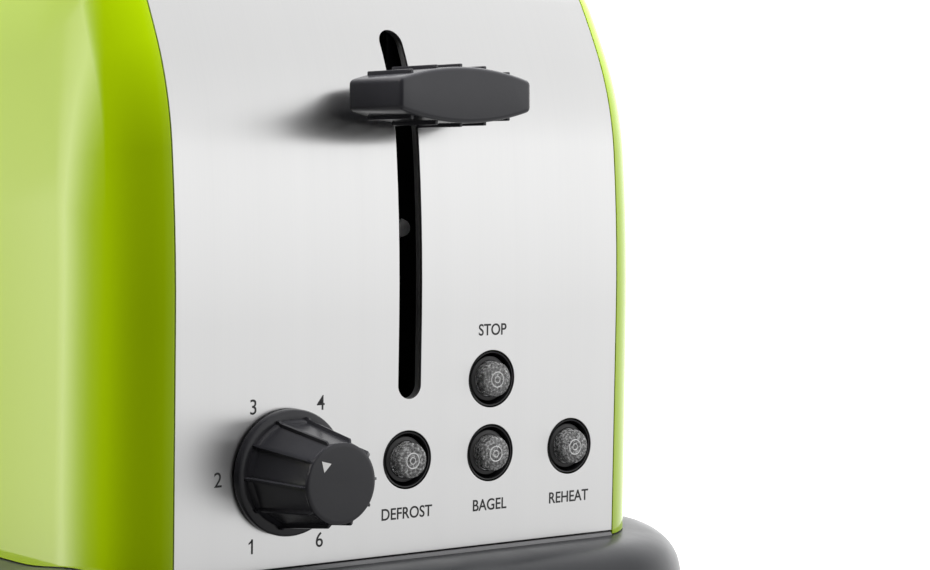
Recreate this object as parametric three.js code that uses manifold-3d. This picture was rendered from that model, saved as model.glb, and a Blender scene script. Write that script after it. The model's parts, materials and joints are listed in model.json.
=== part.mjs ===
// Two-slice pop-up toaster: steel ends and top, two painted cheeks, a flared plinth, and a control end
// with a lever, a dial and four push buttons. Millimetres, +Z up, +X to the right of the control end,
// which faces -Y. The origin is on the table, under the middle of the object's box.
import * as THREE from "three";
import { mergeVertices } from "three/addons/utils/BufferGeometryUtils.js";
import Module from "manifold-3d";

const wasm = await Module();
wasm.setup();

// ---- driving dimensions ----

const GAP = 0.3; // clearance between pieces that touch
const DEG = Math.PI / 180;

const BODY_LENGTH = 250; // control end to rear end, at the foot of the end panels
const BODY_HALF_WIDTH = 84;
const PANEL_HALF_WIDTH = 70.2; // of the steel ends and top
const PANEL_BOTTOM = 26; // height of the end panels' lower edge above the table
const BODY_RISE = 165; // from there to the top plate
const BODY_TOP = PANEL_BOTTOM + BODY_RISE;
const SHEET = 0.8; // steel and painted sheet

// The end panels lean out a little, then bend back in four arcs: radius, heading after it, facets.
const PANEL_LEAN = -1.5;
const PANEL_STRAIGHT = 62;
const END_BENDS = [
  { radius: 410, heading: 4.5, facets: 3 },
  { radius: 80, heading: 24.5, facets: 5 },
  { radius: 200, heading: 29, facets: 2 },
];
const SHOULDER_FACETS = 7;

// A cheek's rim is an arc that starts beside the steel and ends in the flat side.
const RIM_START = 17;
const RIM_RADIUS = (BODY_HALF_WIDTH - PANEL_HALF_WIDTH - GAP) / (1 - Math.sin(RIM_START * DEG));
const RIM_FACETS = 6;
const CHEEK_BOTTOM = 23;


// The plinth's section is a squared quarter ellipse, and its crest rises beside the four corners.
const PLINTH = { flare: 18, top: 24.6, waist: 8, bottom: 3, tuck: 1.8, cornerRadius: 21.4, lift: 2.2 };
const PLINTH_SQUARENESS = 0.66;
const PLINTH_WALL = 5;
const CREST = { sharpness: 2.9, run: 32, points: 4 };
const LIP = { proud: 0.5, depth: 3.2, groove: 0.5, grooveBottom: 23.6 };
const GLAND = { x: -70, z: 14, seat: 16, shaft: 4.4, flange: 6.4, bore: 2.2 };
const FOOT = { radius: 9, height: 3.7, x: 76, inset: 14 };

const SLOT = { x: 27, width: 34, y0: 54, y1: 196, collar: 10, corner: 4 };
const CHASSIS = { front: 50, rear: 198.8, halfWidth: 62, bottom: 34, top: 178 };

const LEVER_SLOT = { width: 7.2, bottom: 40.5, top: 136.3 };
const LEVER_HEIGHT = PANEL_BOTTOM + 118.5;
const LEVER_DROP = 72;
const LEVER_LIFT = 12;
const KNOB = { halfWidth: 20.6, halfHeight: 7.05, endHalfHeight: 3.85, front: -25.85, back: -3 };
const KNOB_RIBS = { pitch: 7.6, width: 1, rise: 1.15, front: -23.2 };
const ARM = { halfWidth: 1.25, halfHeight: 4, front: -16, back: 39.7 };

const DIAL = { x: -37.85, up: 24.2, flange: 16, flangeHeight: 3, base: 13.4, face: 10.3, height: 24.5 };
const DIAL_RIBS = { count: 10, first: 2, width: 1.1, rise: 0.8 };
const SHAFT_RADIUS = 3;

const BUTTONS = [
  { name: "stop", x: 27, up: 44.4 },
  { name: "defrost", x: -0.4, up: 24.6 },
  { name: "bagel", x: 26.9, up: 24.6 },
  { name: "reheat", x: 54.3, up: 24.6 },
];
const BUTTON = { hole: 7.65, bezel: 7.35, bore: 6.35, collar: 6.05, lens: 4.65, height: 2.6, depth: 7 };
const BOARD = { front: -12.4, back: -14 };

const ROD = { x: 12, y: 36, radius: 2.5, bottom: 34, top: 172 };
const SPRING = { x: -12, y: 36, radius: 3.4, wire: 0.7, turns: 8, bottom: 153.6, top: 171.6 };
const LIFTER = { top: 132, railHalf: 1.5, railHeight: 6, fingerHalf: 8, fingers: 8, front: 43.3, back: 203 };
const GUIDE = { offset: 14, wire: 1.6, bottom: 50, top: 178, y0: 58, y1: 192, wires: 10 };
const HEATER = { outer: 48, inner: 5.2, thickness: 1, bottom: 46, top: 168, turns: 11 };
const SHIELD = { inset: 2, half: 0.5, fold: 6 };
const SLIDER = { front: 40, back: 43, boss: 6, lug: 4, overReach: 4 };
const MAGNET = {
  x: -12.5, halfWidth: 7.5, front: 34, back: 47, bottom: 31,
  coilTop: 43, coreTop: 45.6, core: 3.5,
};
const SLOT_GUIDE = {
  left: -14, right: 16.5, front: 11.5, back: 12.7,
  bottom: 38, top: 139, screwX: 6.4, screwUp: 84.6,
};
const TRAY = { halfWidth: 58, y0: 40, y1: 257.7, bottom: 8, top: 15.2, wall: 0.8 };

const ORIGIN_Y = (KNOB.front + BODY_LENGTH + PLINTH.flare) / 2;

// ---- materials ----

const material = (color, roughness, metalness) =>
  new THREE.MeshStandardMaterial({ color, roughness, metalness, flatShading: true });
const STEEL = material(0xcfd0d0, 0.35, 0.9);
const GREEN = material(0x9cc400, 0.15, 0.1);
const PLINTH_GREY = material(0x53565a, 0.5, 0);
const KNOB_GREY = material(0x3a3c3f, 0.45, 0);
const BLACK = material(0x141414, 0.4, 0);
const CLEAR = material(0x8b8d8d, 0.1, 0);
const RUBBER = material(0x1b1b1b, 0.9, 0);
const ZINC = material(0x9a9c9e, 0.5, 0.8);
const MICA = material(0xc9b79c, 0.7, 0);
const RIBBON = material(0x8c7f75, 0.5, 0.7);
const COPPER = material(0x9a5b34, 0.5, 0.6);
const BOARD_GREEN = material(0x2f6a45, 0.6, 0);

// ---- solids from geometry, and back ----

function toSolid(geometry) {
  const bare = geometry.clone();
  bare.deleteAttribute("normal");
  bare.deleteAttribute("uv");
  const merged = mergeVertices(bare, 1e-4);
  const triVerts = new Uint32Array(merged.index.array);
  const vertProperties = merged.attributes.position.array;
  const made = new wasm.Manifold(new wasm.Mesh({ numProp: 3, vertProperties, triVerts }));
  if (made.volume() > 0) return made;
  for (let i = 0; i < triVerts.length; i += 3) {
    [triVerts[i + 1], triVerts[i + 2]] = [triVerts[i + 2], triVerts[i + 1]];
  }
  return new wasm.Manifold(new wasm.Mesh({ numProp: 3, vertProperties, triVerts }));
}

function toGeometry(solid) {
  const mesh = solid.getMesh();
  const geometry = new THREE.BufferGeometry();
  geometry.setAttribute("position", new THREE.BufferAttribute(new Float32Array(mesh.vertProperties), 3));
  geometry.setIndex(new THREE.BufferAttribute(new Uint32Array(mesh.triVerts), 1));
  geometry.computeVertexNormals();
  return geometry;
}

const closed = (geometry) => toGeometry(toSolid(geometry));
const join = (...pieces) => toGeometry(pieces.map(toSolid).reduce((whole, piece) => whole.add(piece)));
const cut = (piece, ...tools) =>
  toGeometry(tools.map(toSolid).reduce((rest, tool) => rest.subtract(tool), toSolid(piece)));
const common = (a, b) => toGeometry(toSolid(a).intersect(toSolid(b)));

// ---- basic shapes, made where they stand ----

function box(x0, x1, y0, y1, z0, z1) {
  const geometry = new THREE.BoxGeometry(x1 - x0, y1 - y0, z1 - z0);
  return geometry.translate((x0 + x1) / 2, (y0 + y1) / 2, (z0 + z1) / 2);
}

// A flat outline in Y and Z, drawn out along X.
function alongX(points, x0, x1) {
  const shape = new THREE.Shape(points.map((p) => new THREE.Vector2(p.y, p.z)));
  const geometry = new THREE.ExtrudeGeometry(shape, { depth: x1 - x0, bevelEnabled: false });
  const basis = new THREE.Matrix4().makeBasis(
    new THREE.Vector3(0, 1, 0),
    new THREE.Vector3(0, 0, 1),
    new THREE.Vector3(1, 0, 0),
  );
  return geometry.applyMatrix4(basis).translate(x0, 0, 0);
}

// A flat outline in X and Y, drawn up from z0 to z1.
function upwards(shape, z0, z1, curveSegments = 4) {
  const geometry = new THREE.ExtrudeGeometry(shape, { depth: z1 - z0, bevelEnabled: false, curveSegments });
  return geometry.translate(0, 0, z0);
}

// A profile of radius and height turned about the Z axis.
function turned(profile, segments = 24) {
  const points = profile.map(([radius, height]) => new THREE.Vector2(radius, height));
  return new THREE.LatheGeometry(points, segments).rotateX(Math.PI / 2);
}

const rod = (radius, z0, z1, segments = 16) =>
  turned([[0, z0], [radius, z0], [radius, z1], [0, z1]], segments);

function roundedRectangle(x0, x1, y0, y1, radius) {
  const shape = new THREE.Shape();
  shape.moveTo(x0 + radius, y0);
  shape.lineTo(x1 - radius, y0);
  shape.absarc(x1 - radius, y0 + radius, radius, -Math.PI / 2, 0);
  shape.lineTo(x1, y1 - radius);
  shape.absarc(x1 - radius, y1 - radius, radius, 0, Math.PI / 2);
  shape.lineTo(x0 + radius, y1);
  shape.absarc(x0 + radius, y1 - radius, radius, Math.PI / 2, Math.PI);
  shape.lineTo(x0, y0 + radius);
  shape.absarc(x0 + radius, y0 + radius, radius, Math.PI, 1.5 * Math.PI);
  return shape;
}

// A skin over a row of closed loops with the same number of points, capped at both ends.
function loft(loops) {
  const count = loops[0].length;
  const positions = loops.flat().flatMap((p) => [p.x, p.y, p.z]);
  const index = [];
  for (let ring = 0; ring + 1 < loops.length; ring++) {
    for (let i = 0; i < count; i++) {
      const a = ring * count + i;
      const b = ring * count + ((i + 1) % count);
      index.push(a, b, b + count, a, b + count, a + count);
    }
  }
  const cap = (loop, offset, turn) => {
    const flat = flatten(loop);
    for (const [a, b, c] of THREE.ShapeUtils.triangulateShape(flat, [])) {
      index.push(...(turn ? [a, c, b] : [a, b, c]).map((i) => i + offset));
    }
  };
  const counterClockwise = THREE.ShapeUtils.area(flatten(loops[0])) > 0;
  cap(loops[0], 0, counterClockwise);
  cap(loops[loops.length - 1], (loops.length - 1) * count, !counterClockwise);
  const geometry = new THREE.BufferGeometry();
  geometry.setAttribute("position", new THREE.Float32BufferAttribute(positions, 3));
  geometry.setIndex(index);
  return geometry;
}

// A loop that lies across X or across Z, as points in its own plane.
function flatten(loop) {
  const acrossX = loop.every((p) => Math.abs(p.x - loop[0].x) < 1e-6);
  return loop.map((p) => (acrossX ? new THREE.Vector2(p.y, p.z) : new THREE.Vector2(p.x, p.y)));
}

// ---- the body's outline, seen from the side ----

// From the foot of the control end to the front edge of the top, as points with outward directions.
function endOutline(below = 0) {
  const points = [];
  let heading = PANEL_LEAN * DEG;
  let y = -Math.tan(heading) * below;
  let z = PANEL_BOTTOM - below;
  const mark = () => points.push({ y, z, out: { y: -Math.cos(heading), z: Math.sin(heading) } });
  const bend = (radius, to, facets) => {
    const start = { y, z, heading };
    for (let i = 1; i <= facets; i++) {
      heading = start.heading + ((to * DEG - start.heading) * i) / facets;
      y = start.y + radius * (Math.cos(start.heading) - Math.cos(heading));
      z = start.z + radius * (Math.sin(heading) - Math.sin(start.heading));
      mark();
    }
  };
  mark();
  y += Math.tan(heading) * (PANEL_STRAIGHT + below);
  z = PANEL_BOTTOM + PANEL_STRAIGHT;
  mark();
  for (const { radius, heading: to, facets } of END_BENDS) bend(radius, to, facets);
  bend((BODY_TOP - z) / (1 - Math.sin(heading)), 90, SHOULDER_FACETS);
  return points;
}

const toRear = (point) => ({
  y: BODY_LENGTH - point.y,
  z: point.z,
  out: { y: -point.out.y, z: point.out.z },
});

const inward = (point, depth) => ({ y: point.y - point.out.y * depth, z: point.z - point.out.z * depth });

const END = endOutline();
const TOP_START = END[END.length - 1].y;

// ---- housing ----

function endSheet() {
  const outer = END.slice(0, -1);
  const inner = outer.map((point) => inward(point, SHEET)).reverse();
  return alongX([...outer, ...inner], -PANEL_HALF_WIDTH, PANEL_HALF_WIDTH);
}

// The frame of the panel's straight part: X to the right, Y up the panel, Z out of it.
const panelFrame = new THREE.Group();
panelFrame.position.set(0, 0, PANEL_BOTTOM);
panelFrame.rotation.x = Math.PI / 2 - PANEL_LEAN * DEG;
panelFrame.updateMatrix();

const onPanel = (geometry, x, up) => geometry.translate(x, up, 0).applyMatrix4(panelFrame.matrix);

function leverSlotTool() {
  const radius = LEVER_SLOT.width / 2;
  const outline = roundedRectangle(-radius, radius, LEVER_SLOT.bottom, LEVER_SLOT.top, radius - 0.001);
  return upwards(outline, -30, 30, 6).rotateX(Math.PI / 2).translate(0, 0, PANEL_BOTTOM);
}

function frontPanel() {
  const holes = BUTTONS.map(({ x, up }) => onPanel(rod(BUTTON.hole, -5, 5, 32), x, up));
  const shaftHole = onPanel(rod(4.8, -5, 5, 20), DIAL.x, DIAL.up);
  return cut(endSheet(), leverSlotTool(), shaftHole, ...holes);
}

const rearPanel = () => closed(endSheet().rotateZ(Math.PI).translate(0, BODY_LENGTH, 0));

function slotOutline(side, shrink) {
  const centre = side * SLOT.x;
  const half = SLOT.width / 2 - shrink;
  return roundedRectangle(centre - half, centre + half, SLOT.y0 + shrink, SLOT.y1 - shrink, SLOT.corner);
}

function topPlate() {
  const y0 = END[END.length - 2].y + GAP;
  const edge = END[END.length - 1].y;
  const shoulder = END[END.length - 2].z + GAP;
  const outer = [
    { y: y0, z: shoulder },
    { y: edge, z: BODY_TOP },
    { y: BODY_LENGTH - edge, z: BODY_TOP },
    { y: BODY_LENGTH - y0, z: shoulder },
    { y: BODY_LENGTH - y0, z: shoulder - SHEET },
    { y: BODY_LENGTH - edge, z: BODY_TOP - SHEET },
    { y: edge, z: BODY_TOP - SHEET },
    { y: y0, z: shoulder - SHEET },
  ];
  const plate = alongX(outer, -PANEL_HALF_WIDTH, PANEL_HALF_WIDTH);
  return cut(plate, ...[-1, 1].map((side) => upwards(slotOutline(side, SHEET), BODY_TOP - 30, BODY_TOP + 5)));
}

// The wall that lines a bread slot, hung under the top plate.
function slotCollar(side) {
  const wall = upwards(slotOutline(side, 0), BODY_TOP - SLOT.collar, BODY_TOP - SHEET - GAP);
  return cut(wall, upwards(slotOutline(side, SHEET), BODY_TOP - 30, BODY_TOP + 5));
}

// One loop of a cheek: the side outline moved inwards by depth, closed below the foot, at one X.
function cheekLoop(x, depth) {
  const front = endOutline(20);
  const rear = front.map(toRear).reverse();
  return [...front, ...rear].map((point) => {
    const moved = inward(point, depth);
    return new THREE.Vector3(x, moved.y, moved.z);
  });
}

function cheekBlock(shrink, startX) {
  const loops = [cheekLoop(startX, shrink)];
  for (let i = 0; i <= RIM_FACETS; i++) {
    const angle = (RIM_START + ((90 - RIM_START) * i) / RIM_FACETS) * DEG;
    const radius = RIM_RADIUS - shrink;
    const x = BODY_HALF_WIDTH - RIM_RADIUS + radius * Math.sin(angle);
    const depth = RIM_RADIUS * Math.cos(RIM_START * DEG) - radius * Math.cos(angle);
    loops.push(cheekLoop(x, depth));
  }
  return loft(loops);
}

function cheek(side) {
  const rimX = BODY_HALF_WIDTH - RIM_RADIUS + RIM_RADIUS * Math.sin(RIM_START * DEG);
  const shell = cut(cheekBlock(0, rimX - 2), cheekBlock(SHEET, rimX - 8));
  const kept = common(shell, box(rimX, 200, -50, 300, CHEEK_BOTTOM, 300));
  const seated = cut(kept, plinthOuter().translate(0, 0, GAP));
  return side > 0 ? seated : closed(seated.scale(-1, 1, 1));
}

// ---- plinth ----

// The front right quarter of a loop round the body's foot: round the corner, then along the side.
function footQuarter(spread, z, lift) {
  const { cornerRadius } = PLINTH;
  const radius = cornerRadius + spread;
  const x = BODY_HALF_WIDTH - cornerRadius;
  const steps = 6;
  const points = [];
  for (let i = 0; i <= steps; i++) {
    const angle = ((i / steps - 1) * Math.PI) / 2;
    const rise = lift * Math.cos(angle) ** CREST.sharpness;
    points.push([x + radius * Math.cos(angle), cornerRadius + radius * Math.sin(angle), z + rise]);
  }
  for (let i = 1; i <= CREST.points; i++) {
    const share = i / CREST.points;
    const rise = lift * Math.cos((share * Math.PI) / 2) ** 2;
    points.push([x + radius, cornerRadius + share * CREST.run, z + rise]);
  }
  return points;
}

// The whole loop, spread outwards, with its crest lifted beside the corners.
function footLoop(spread, z, lift = 0) {
  const quarter = footQuarter(spread, z, lift);
  const back = [...quarter].reverse();
  return [
    ...quarter.map(([x, y, height]) => new THREE.Vector3(x, y, height)),
    ...back.map(([x, y, height]) => new THREE.Vector3(x, BODY_LENGTH - y, height)),
    ...quarter.map(([x, y, height]) => new THREE.Vector3(-x, BODY_LENGTH - y, height)),
    ...back.map(([x, y, height]) => new THREE.Vector3(-x, y, height)),
  ];
}

function plinthOuter() {
  const { flare, top, waist, bottom, tuck, lift } = PLINTH;
  const loops = [footLoop(flare - tuck, bottom)];
  const facets = 10;
  for (let i = 0; i <= facets; i++) {
    const angle = (90 * i * DEG) / facets;
    const spread = flare * Math.max(Math.cos(angle), 0) ** PLINTH_SQUARENESS;
    const height = waist + (top - waist) * Math.sin(angle) ** PLINTH_SQUARENESS;
    loops.push(footLoop(spread, height, lift * Math.sin(angle) ** 4));
  }
  loops.push(footLoop(-1.5, top, lift));
  loops.push(footLoop(-7, top));
  return loft(loops);
}

function plinth() {
  const { flare, top, bottom } = PLINTH;
  const hollow = loft([
    footLoop(flare - PLINTH_WALL, bottom - 1),
    footLoop(flare - PLINTH_WALL, top - 11),
    footLoop(flare - PLINTH_WALL - 6, top - 4.5),
    footLoop(-PLINTH_WALL, top - 2.5),
    footLoop(-PLINTH_WALL, top + 5),
  ]);
  const trayWay = box(-TRAY.halfWidth - 1, TRAY.halfWidth + 1, 200, 300, TRAY.bottom - 1, TRAY.top + 1);
  const shaftHole = GLAND.shaft + GAP;
  const seat = GLAND.flange + GAP + 0.1;
  const glandHole = turned([[0, 0], [shaftHole, 0], [shaftHole, 20], [seat, 20], [seat, 30], [0, 30]], 20);
  glandHole.rotateX(-Math.PI / 2).translate(GLAND.x, BODY_LENGTH + GLAND.seat - 20, GLAND.z);
  const lip = box(-PANEL_HALF_WIDTH, PANEL_HALF_WIDTH, -LIP.proud, LIP.depth, top - 1, PANEL_BOTTOM - GAP);
  const grooveFront = -LIP.proud - LIP.groove;
  const groove = box(-PANEL_HALF_WIDTH, PANEL_HALF_WIDTH, grooveFront, -LIP.proud, LIP.grooveBottom, top + 5);
  return cut(join(cut(plinthOuter(), hollow), lip), groove, trayWay, glandHole);
}

function bottomPlate() {
  const edge = PLINTH.flare - 6;
  const x = BODY_HALF_WIDTH + edge;
  const outline = roundedRectangle(-x, x, -edge, BODY_LENGTH + edge, PLINTH.cornerRadius + edge);
  return upwards(outline, FOOT.height + GAP, FOOT.height + GAP + SHEET);
}

function foot(side, end) {
  const { radius, height, x, inset } = FOOT;
  const y = end < 0 ? inset : BODY_LENGTH - inset;
  return rod(radius, 0, height, 24).translate(side * x, y, 0);
}

function gland() {
  const { x, z, seat, shaft, flange, bore } = GLAND;
  const inner = [[bore, -8], [shaft, -8], [shaft, GAP]];
  const outer = [[flange, GAP], [flange, 1.3], [bore, 1.3], [bore, -8]];
  return turned([...inner, ...outer], 20).rotateX(-Math.PI / 2).translate(x, BODY_LENGTH + seat, z);
}

function crumbPan() {
  const { halfWidth, y0, y1, bottom, top, wall } = TRAY;
  const inside = box(-halfWidth + wall, halfWidth - wall, y0 + wall, y1 - wall, bottom + wall, top + 5);
  return cut(box(-halfWidth, halfWidth, y0, y1, bottom, top), inside);
}

function crumbPull() {
  const { halfWidth, y1, bottom, top } = TRAY;
  const block = box(-halfWidth, halfWidth, y1 + GAP, BODY_LENGTH + PLINTH.flare - 1.2, bottom, top);
  const rim = BODY_LENGTH + PLINTH.flare;
  const grip = box(-18, 18, rim - 5.5, rim, bottom - 1, bottom + 4.5);
  return cut(block, grip);
}

// ---- chassis and heaters ----

function chassisPlate(y) {
  const { halfWidth, bottom, top } = CHASSIS;
  const low = LIFTER.top - LIFTER.railHeight - LEVER_DROP - 4;
  const high = LIFTER.top + LEVER_LIFT + 4;
  const half = LIFTER.railHalf + 0.7;
  const way = (x) => box(x - half, x + half, y - 5, y + 5, low, high);
  const ways = [way(-SLOT.x), way(SLOT.x)];
  return cut(box(-halfWidth, halfWidth, y, y + SHEET, bottom, top), ...ways);
}

function heatShield(side) {
  const { halfWidth, bottom, top, front, rear } = CHASSIS;
  const x = side * (halfWidth - SHIELD.inset);
  const y0 = front + SHEET + GAP;
  const y1 = rear - GAP;
  const wall = box(x - SHIELD.half, x + SHIELD.half, y0, y1, bottom, top);
  const foldEnd = x - side * SHIELD.fold;
  const fold = box(Math.min(x, foldEnd), Math.max(x, foldEnd), y0, y1, bottom, bottom + 2 * SHIELD.half);
  return join(wall, fold);
}

function heaterBoard(x) {
  const { thickness, bottom, top } = HEATER;
  const y0 = CHASSIS.front + SHEET + GAP;
  return box(x - thickness / 2, x + thickness / 2, y0, CHASSIS.rear - GAP, bottom, top);
}

// A ribbon that runs to and fro along the face of its board, on the side where the bread is.
function heaterRibbon(x, towards) {
  const { thickness, bottom, top, turns } = HEATER;
  const face = x + towards * (thickness / 2 + GAP);
  const x0 = Math.min(face, face + towards * 0.6);
  const y0 = SLOT.y0 + 6;
  const y1 = SLOT.y1 - 6;
  const pitch = (top - bottom - 14) / (turns - 1);
  const runs = [];
  for (let i = 0; i < turns; i++) {
    const z = bottom + 7 + i * pitch;
    runs.push(box(x0, x0 + 0.6, y0, y1, z - 1, z + 1));
    const y = i % 2 ? y0 : y1 - 2;
    if (i + 1 < turns) runs.push(box(x0, x0 + 0.6, y, y + 2, z - 1, z + pitch + 1));
  }
  return join(...runs);
}

function breadGuide(x) {
  const { wire, bottom, top, y0, y1, wires } = GUIDE;
  const half = wire / 2;
  const rail = (z) => box(x - half, x + half, y0, y1, z, z + wire);
  const rails = [bottom, (bottom + top) / 2, top - wire].map(rail);
  const uprights = Array.from({ length: wires }, (_, i) => {
    const y = y0 + half + ((y1 - y0 - wire) * i) / (wires - 1);
    return box(x - half, x + half, y - half, y + half, bottom, top);
  });
  return join(...rails, ...uprights);
}

// ---- carriage ----

function lifter(side) {
  const { top, railHalf, railHeight, fingerHalf, fingers, front, back } = LIFTER;
  const x = side * SLOT.x;
  const rail = box(x - railHalf, x + railHalf, front, back, top - railHeight, top - 1);
  const bars = Array.from({ length: fingers }, (_, i) => {
    const y = SLOT.y0 + 10 + ((SLOT.y1 - SLOT.y0 - 20) * i) / (fingers - 1);
    return box(x - fingerHalf, x + fingerHalf, y - 1.5, y + 1.5, top - 2.5, top);
  });
  return join(rail, ...bars);
}

function slider() {
  const { front, back, boss: bossHalf, lug: lugHalf, overReach } = SLIDER;
  const reach = SLOT.x + overReach;
  const joint = front + 1;
  const bottom = LIFTER.top - LIFTER.railHeight - 4;
  const plate = box(-reach, reach, front, back, bottom, LEVER_HEIGHT + 12);
  const bossFront = ROD.y - bossHalf + 0.5;
  const [bossLow, bossHigh] = [LEVER_HEIGHT - 10, LEVER_HEIGHT + 10];
  const boss = box(ROD.x - bossHalf, ROD.x + bossHalf, bossFront, joint, bossLow, bossHigh);
  const lugTop = SPRING.bottom - 2 * GAP;
  const lug = box(SPRING.x - lugHalf, SPRING.x + lugHalf, SPRING.y - lugHalf, joint, lugTop - 3, lugTop);
  const bore = rod(ROD.radius + 0.35, 0, 300, 20).translate(ROD.x, ROD.y, 0);
  return cut(join(plate, boss, lug), bore);
}

function armature() {
  const { x, halfWidth, front, back, coreTop } = MAGNET;
  const under = coreTop + LEVER_DROP + 2 * GAP;
  return box(x - halfWidth, x + halfWidth, front, back - 1, under, LIFTER.top - LIFTER.railHeight - 4 - GAP);
}

function leverArm() {
  const { halfWidth, halfHeight, front, back } = ARM;
  return box(-halfWidth, halfWidth, front, back, LEVER_HEIGHT - halfHeight, LEVER_HEIGHT + halfHeight);
}

// The knob's half height at a distance from its middle: highest there, lowest at its cut ends.
function knobHalfHeight(x) {
  const drop = KNOB.halfHeight - KNOB.endHalfHeight;
  return KNOB.halfHeight - drop * (x / KNOB.halfWidth) ** 2;
}

function knobOutline() {
  const steps = 8;
  const upper = Array.from({ length: steps + 1 }, (_, i) => {
    const x = KNOB.halfWidth * (1 - (2 * i) / steps);
    return new THREE.Vector2(x, knobHalfHeight(x));
  });
  const lower = upper.map((p) => new THREE.Vector2(-p.x, -p.y));
  return new THREE.Shape([...upper, ...lower]);
}

function leverKnob() {
  const chamfer = 1;
  const body = new THREE.ExtrudeGeometry(knobOutline(), {
    depth: KNOB.back - KNOB.front - chamfer,
    bevelThickness: chamfer,
    bevelSize: chamfer,
    bevelOffset: -chamfer,
    bevelSegments: 1,
  });
  body.rotateX(Math.PI / 2).translate(0, KNOB.back - chamfer / 2 - 0.5, LEVER_HEIGHT);
  const squareBack = common(body, box(-50, 50, KNOB.front, KNOB.back, 0, 300));
  const ribs = [-2, -1, 0, 1, 2].map((i) => {
    const x = i * KNOB_RIBS.pitch;
    const half = KNOB_RIBS.width / 2;
    const height = knobHalfHeight(x) + KNOB_RIBS.rise - 0.3;
    const [low, high] = [LEVER_HEIGHT - height, LEVER_HEIGHT + height];
    return box(x - half, x + half, KNOB_RIBS.front, KNOB.back - 1.5, low, high);
  });
  const pocket = box(
    -ARM.halfWidth - GAP,
    ARM.halfWidth + GAP,
    ARM.front - GAP,
    KNOB.back + 5,
    LEVER_HEIGHT - ARM.halfHeight - GAP,
    LEVER_HEIGHT + ARM.halfHeight + GAP,
  );
  return cut(join(squareBack, ...ribs), pocket);
}

function returnSpring() {
  const { x, y, radius, wire, turns, bottom, top } = SPRING;
  const stepsPerTurn = 10;
  const points = Array.from({ length: turns * stepsPerTurn + 1 }, (_, i) => {
    const angle = (2 * Math.PI * i) / stepsPerTurn;
    const z = bottom + wire + ((top - bottom - 2 * wire) * i) / (turns * stepsPerTurn);
    return new THREE.Vector3(x + radius * Math.cos(angle), y + radius * Math.sin(angle), z);
  });
  const section = new THREE.Shape();
  section.absarc(0, 0, wire / 2, 0, 2 * Math.PI);
  const extrudePath = new THREE.CatmullRomCurve3(points);
  return new THREE.ExtrudeGeometry(section, { steps: turns * stepsPerTurn, curveSegments: 2, extrudePath });
}

const guideRod = () => rod(ROD.radius, ROD.bottom, ROD.top).translate(ROD.x, ROD.y, 0);
const rodBracket = (x0, z0, z1) => box(x0, ROD.x + 8, ROD.y - 6, CHASSIS.front - GAP, z0, z1);

function electromagnet() {
  const { x, halfWidth, front, back, bottom, coilTop, coreTop, core } = MAGNET;
  const coil = box(x - halfWidth, x + halfWidth, front, back, bottom, coilTop);
  return join(coil, box(x - core, x + core, front + core, back - core, coilTop - 1, coreTop));
}

// ---- control end ----

// The black guide behind the lever slot, with the way for the lever arm.
function slotGuide() {
  const { left, right, front, back, bottom, top } = SLOT_GUIDE;
  const half = ARM.halfWidth + 0.55;
  const plate = box(left, right, front, back, PANEL_BOTTOM + bottom, PANEL_BOTTOM + top);
  const way = box(-half, half, 5, 20, PANEL_BOTTOM + LEVER_SLOT.bottom - 0.5, PANEL_BOTTOM + LEVER_SLOT.top);
  return cut(plate, way);
}

const guideScrew = () => turned([[0, 0], [2.4, 0], [2.1, 1], [0, 1.3]], 20)
  .rotateX(Math.PI / 2)
  .translate(SLOT_GUIDE.screwX, SLOT_GUIDE.front - GAP, PANEL_BOTTOM + SLOT_GUIDE.screwUp);

function controlBoard() {
  const low = box(-52, 62, 12, 36, BOARD.back, BOARD.front);
  const high = box(18, 36, 35, 54, BOARD.back, BOARD.front);
  const switches = BUTTONS.map(({ x, up }) => box(x - 3, x + 3, up - 3, up + 3, BOARD.front - 0.5, -9.4));
  return join(low, high, ...switches);
}

function potentiometer() {
  const bore = SHAFT_RADIUS + GAP;
  const back = BOARD.front + GAP;
  return turned([[bore, back], [9, back], [9, -5], [4.5, -5], [4.5, 0.1], [bore, 0.1], [bore, back]]);
}

const dialShaft = () => rod(SHAFT_RADIUS, BOARD.front + 0.6, 13);

function dialKnob() {
  const { flange, flangeHeight, base, face, height } = DIAL;
  const body = turned([
    [0, 0.4],
    [flange, 0.4],
    [flange, flangeHeight - 0.7],
    [flange - 0.7, flangeHeight],
    [base, flangeHeight],
    [base - 0.6, flangeHeight + 2],
    [face, height - 0.8],
    [face - 0.8, height],
    [0, height],
  ], 40);
  const ribs = Array.from({ length: DIAL_RIBS.count }, (_, i) => {
    const side = [
      { y: 5, z: flangeHeight - 1 },
      { y: base + DIAL_RIBS.rise, z: flangeHeight - 1 },
      { y: base - 0.6 + DIAL_RIBS.rise, z: flangeHeight + 2 },
      { y: face + DIAL_RIBS.rise, z: height - 0.6 },
      { y: 5, z: height - 0.6 },
    ];
    const turn = (DIAL_RIBS.first + (360 * i) / DIAL_RIBS.count - 90) * DEG;
    return alongX(side, -DIAL_RIBS.width / 2, DIAL_RIBS.width / 2).rotateZ(turn);
  });
  return cut(join(body, ...ribs), rod(SHAFT_RADIUS + GAP, -2, 13.3));
}

function buttonBezel() {
  const { bezel, bore, depth } = BUTTON;
  return turned([[bore, -depth], [bezel, -depth], [bezel, -0.3], [bore, -0.9], [bore, -depth]], 32);
}

function buttonCap() {
  const { collar, lens, height, depth } = BUTTON;
  const profile = [[0, -depth], [collar, -depth], [collar, -0.1], [collar - 0.5, 0.3], [lens, 0.3]];
  profile.push([lens, height - 0.7], [lens - 0.7, height], [0, height]);
  return turned(profile, 32);
}

// ---- the scene ----

const toaster = new THREE.Group();
toaster.position.y = -ORIGIN_Y;
toaster.add(panelFrame);

function place(name, geometry, finish, parent = toaster, x = 0, y = 0) {
  const mesh = new THREE.Mesh(geometry, finish);
  mesh.name = name;
  mesh.position.set(x, y, 0);
  parent.add(mesh);
}

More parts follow.
